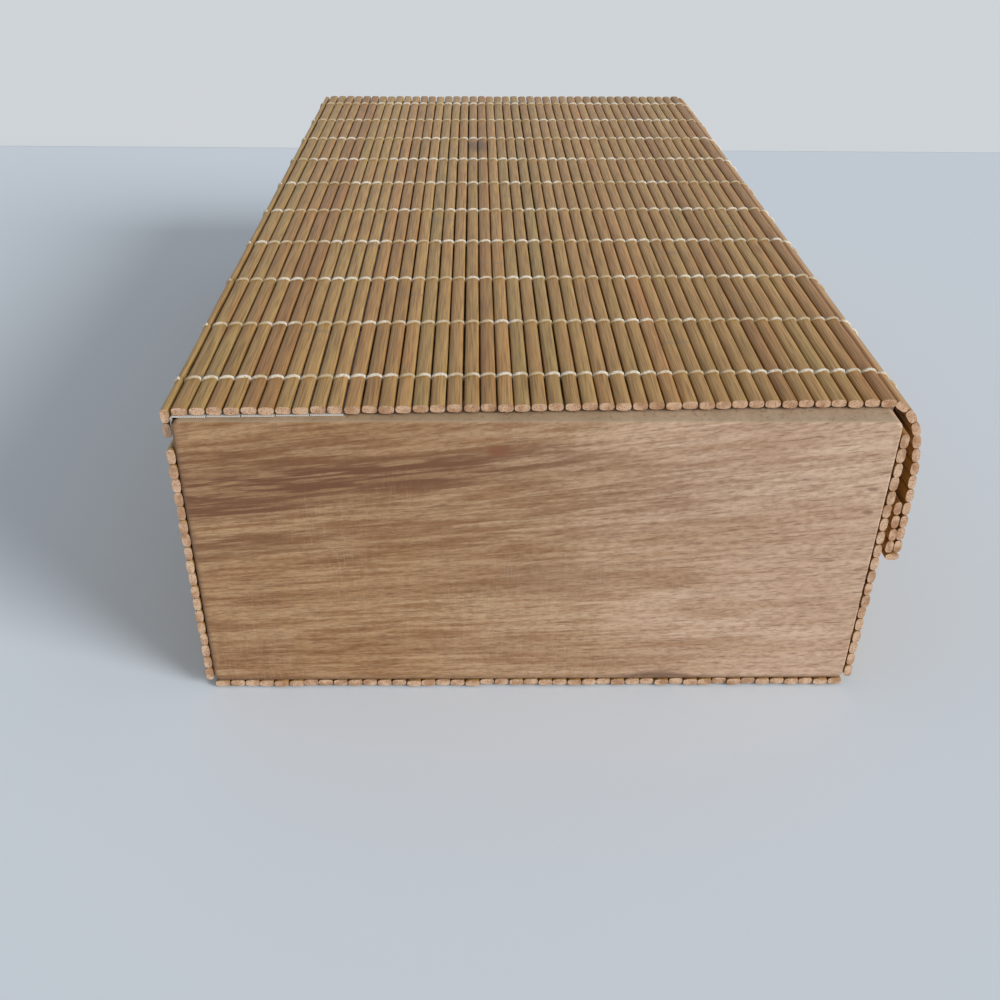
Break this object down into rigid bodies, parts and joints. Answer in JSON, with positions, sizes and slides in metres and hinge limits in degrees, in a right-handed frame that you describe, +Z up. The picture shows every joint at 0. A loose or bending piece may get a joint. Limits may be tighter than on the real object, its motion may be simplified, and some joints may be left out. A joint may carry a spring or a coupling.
{
  "type": "stationery box",
  "caption": "Long low wooden box clad in mats of bamboo slats, with a flexible slat lid that rolls back and a flap that hangs over the front.",
  "frame": {"origin": "centre of the underside of the bamboo mat under the box, where it stands on the table", "axes": "+X along the box and its slats, +Y to the back where the lid is joined, +Z up"},
  "size_m": [0.2535, 0.1403, 0.0641],
  "materials": {
    "end_wood": "sanded, bare, open grain",
    "board_wood": "sanded, bare",
    "bamboo": "bare split bamboo, fine fibres",
    "tape_cloth": "thin woven cotton"
  },
  "bodies": {
    "box": {"left_end_panel": "end_wood", "right_end_panel": "end_wood", "base_board": "board_wood", "front_board": "board_wood", "back_board": "board_wood", "base_mat": "bamboo", "front_mat": "bamboo", "back_mat": "bamboo", "back_edge_strip": "bamboo", "hinge_tape_wall": "tape_cloth"},
    "lid_link_01": {"lid_strip_01": "bamboo", "hinge_tape_lid_1": "tape_cloth"},
    "lid_link_02": {"lid_strip_02": "bamboo", "hinge_tape_lid_2": "tape_cloth"},
    "lid_link_03": {"lid_strip_03": "bamboo", "hinge_tape_lid_3": "tape_cloth"},
    "lid_link_04": {"lid_strip_04": "bamboo", "hinge_tape_lid_4": "tape_cloth"},
    "lid_link_05": {"lid_strip_05": "bamboo", "hinge_tape_lid_5": "tape_cloth"},
    "lid_link_06": {"lid_strip_06": "bamboo"},
    "lid_link_07": {"lid_strip_07": "bamboo"},
    "lid_link_08": {"lid_strip_08": "bamboo"},
    "lid_link_09": {"lid_strip_09": "bamboo"},
    "lid_link_10": {"lid_strip_10": "bamboo"},
    "lid_link_11": {"lid_strip_11": "bamboo"},
    "lid_link_12": {"lid_strip_12": "bamboo"},
    "lid_link_13": {"lid_strip_13": "bamboo"},
    "lid_link_14": {"lid_strip_14": "bamboo"},
    "lid_link_15": {"lid_strip_15": "bamboo"},
    "lid_link_16": {"lid_strip_16": "bamboo"},
    "lid_link_17": {"lid_strip_17": "bamboo"},
    "lid_link_18": {"lid_strip_18": "bamboo"},
    "lid_link_19": {"lid_strip_19": "bamboo"},
    "lid_link_20": {"lid_strip_20": "bamboo"},
    "lid_link_21": {"lid_strip_21": "bamboo"},
    "lid_link_22": {"lid_strip_22": "bamboo"},
    "flap_link_1": {"flap_slat_1": "bamboo"},
    "flap_link_2": {"flap_slat_2": "bamboo"},
    "flap_link_3": {"flap_slat_3": "bamboo"},
    "flap_link_4": {"flap_slat_4": "bamboo"},
    "flap_link_5": {"flap_slat_5": "bamboo"},
    "flap_link_6": {"flap_slat_6": "bamboo"},
    "flap_link_7": {"flap_slat_7": "bamboo"},
    "flap_link_8": {"flap_slat_8": "bamboo"},
    "hem": {"hem_outer": "bamboo", "hem_return": "bamboo", "hem_fold": "bamboo"}
  },
  "joints": [
    {"name": "lid_open", "type": "hinge", "parent": "box", "child": "lid_link_01", "pos_m": [0, 0.06615, 0.0633], "axis": [-1, 0, 0], "range_deg": [0, 100]},
    {"name": "lid_bend_02", "type": "hinge", "parent": "lid_link_01", "child": "lid_link_02", "pos_m": [0, 0.05895, 0.0633], "axis": [-1, 0, 0], "range_deg": [0, 4.5]},
    {"name": "lid_bend_03", "type": "hinge", "parent": "lid_link_02", "child": "lid_link_03", "pos_m": [0, 0.05291, 0.0633], "axis": [-1, 0, 0], "range_deg": [0, 4.5]},
    {"name": "lid_bend_04", "type": "hinge", "parent": "lid_link_03", "child": "lid_link_04", "pos_m": [0, 0.04686, 0.0633], "axis": [-1, 0, 0], "range_deg": [0, 4.5]},
    {"name": "lid_bend_05", "type": "hinge", "parent": "lid_link_04", "child": "lid_link_05", "pos_m": [0, 0.04081, 0.0633], "axis": [-1, 0, 0], "range_deg": [0, 4.5]},
    {"name": "lid_bend_06", "type": "hinge", "parent": "lid_link_05", "child": "lid_link_06", "pos_m": [0, 0.03477, 0.0633], "axis": [-1, 0, 0], "range_deg": [0, 4.5]},
    {"name": "lid_bend_07", "type": "hinge", "parent": "lid_link_06", "child": "lid_link_07", "pos_m": [0, 0.02872, 0.0633], "axis": [-1, 0, 0], "range_deg": [0, 4.5]},
    {"name": "lid_bend_08", "type": "hinge", "parent": "lid_link_07", "child": "lid_link_08", "pos_m": [0, 0.02267, 0.0633], "axis": [-1, 0, 0], "range_deg": [0, 4.5]},
    {"name": "lid_bend_09", "type": "hinge", "parent": "lid_link_08", "child": "lid_link_09", "pos_m": [0, 0.01663, 0.0633], "axis": [-1, 0, 0], "range_deg": [0, 4.5]},
    {"name": "lid_bend_10", "type": "hinge", "parent": "lid_link_09", "child": "lid_link_10", "pos_m": [0, 0.01058, 0.0633], "axis": [-1, 0, 0], "range_deg": [0, 4.5]},
    {"name": "lid_bend_11", "type": "hinge", "parent": "lid_link_10", "child": "lid_link_11", "pos_m": [0, 0.00453, 0.0633], "axis": [-1, 0, 0], "range_deg": [0, 4.5]},
    {"name": "lid_bend_12", "type": "hinge", "parent": "lid_link_11", "child": "lid_link_12", "pos_m": [0, -0.00151, 0.0633], "axis": [-1, 0, 0], "range_deg": [0, 4.5]},
    {"name": "lid_bend_13", "type": "hinge", "parent": "lid_link_12", "child": "lid_link_13", "pos_m": [0, -0.00756, 0.0633], "axis": [-1, 0, 0], "range_deg": [0, 4.5]},
    {"name": "lid_bend_14", "type": "hinge", "parent": "lid_link_13", "child": "lid_link_14", "pos_m": [0, -0.0136, 0.0633], "axis": [-1, 0, 0], "range_deg": [0, 4.5]},
    {"name": "lid_bend_15", "type": "hinge", "parent": "lid_link_14", "child": "lid_link_15", "pos_m": [0, -0.01965, 0.0633], "axis": [-1, 0, 0], "range_deg": [0, 4.5]},
    {"name": "lid_bend_16", "type": "hinge", "parent": "lid_link_15", "child": "lid_link_16", "pos_m": [0, -0.0257, 0.0633], "axis": [-1, 0, 0], "range_deg": [0, 4.5]},
    {"name": "lid_bend_17", "type": "hinge", "parent": "lid_link_16", "child": "lid_link_17", "pos_m": [0, -0.03174, 0.0633], "axis": [-1, 0, 0], "range_deg": [0, 4.5]},
    {"name": "lid_bend_18", "type": "hinge", "parent": "lid_link_17", "child": "lid_link_18", "pos_m": [0, -0.03779, 0.0633], "axis": [-1, 0, 0], "range_deg": [0, 4.5]},
    {"name": "lid_bend_19", "type": "hinge", "parent": "lid_link_18", "child": "lid_link_19", "pos_m": [0, -0.04384, 0.0633], "axis": [-1, 0, 0], "range_deg": [0, 4.5]},
    {"name": "lid_bend_20", "type": "hinge", "parent": "lid_link_19", "child": "lid_link_20", "pos_m": [0, -0.04988, 0.0633], "axis": [-1, 0, 0], "range_deg": [0, 4.5]},
    {"name": "lid_bend_21", "type": "hinge", "parent": "lid_link_20", "child": "lid_link_21", "pos_m": [0, -0.05593, 0.0633], "axis": [-1, 0, 0], "range_deg": [0, 4.5]},
    {"name": "lid_bend_22", "type": "hinge", "parent": "lid_link_21", "child": "lid_link_22", "pos_m": [0, -0.06198, 0.0633], "axis": [-1, 0, 0], "range_deg": [0, 4.5]},
    {"name": "flap_lift", "type": "hinge", "parent": "lid_link_22", "child": "flap_link_1", "pos_m": [0, -0.065, 0.0633], "axis": [-1, 0, 0], "range_deg": [0, 12]},
    {"name": "flap_bend_2", "type": "hinge", "parent": "flap_link_1", "child": "flap_link_2", "pos_m": [0, -0.06751, 0.06161], "axis": [-1, 0, 0], "range_deg": [0, 12]},
    {"name": "flap_bend_3", "type": "hinge", "parent": "flap_link_2", "child": "flap_link_3", "pos_m": [0, -0.06924, 0.05913], "axis": [-1, 0, 0], "range_deg": [0, 12]},
    {"name": "flap_bend_4", "type": "hinge", "parent": "flap_link_3", "child": "flap_link_4", "pos_m": [0, -0.07037, 0.05633], "axis": [-1, 0, 0], "range_deg": [0, 12]},
    {"name": "flap_bend_5", "type": "hinge", "parent": "flap_link_4", "child": "flap_link_5", "pos_m": [0, -0.07109, 0.05339], "axis": [-1, 0, 0], "range_deg": [0, 12]},
    {"name": "flap_bend_6", "type": "hinge", "parent": "flap_link_5", "child": "flap_link_6", "pos_m": [0, -0.07155, 0.0504], "axis": [-1, 0, 0], "range_deg": [0, 12]},
    {"name": "flap_bend_7", "type": "hinge", "parent": "flap_link_6", "child": "flap_link_7", "pos_m": [0, -0.07185, 0.0474], "axis": [-1, 0, 0], "range_deg": [0, 12]},
    {"name": "flap_bend_8", "type": "hinge", "parent": "flap_link_7", "child": "flap_link_8", "pos_m": [0, -0.07205, 0.04438], "axis": [-1, 0, 0], "range_deg": [0, 12]},
    {"name": "flap_bend_9", "type": "hinge", "parent": "flap_link_8", "child": "hem", "pos_m": [0, -0.07218, 0.04136], "axis": [-1, 0, 0], "range_deg": [0, 12]}
  ]
}
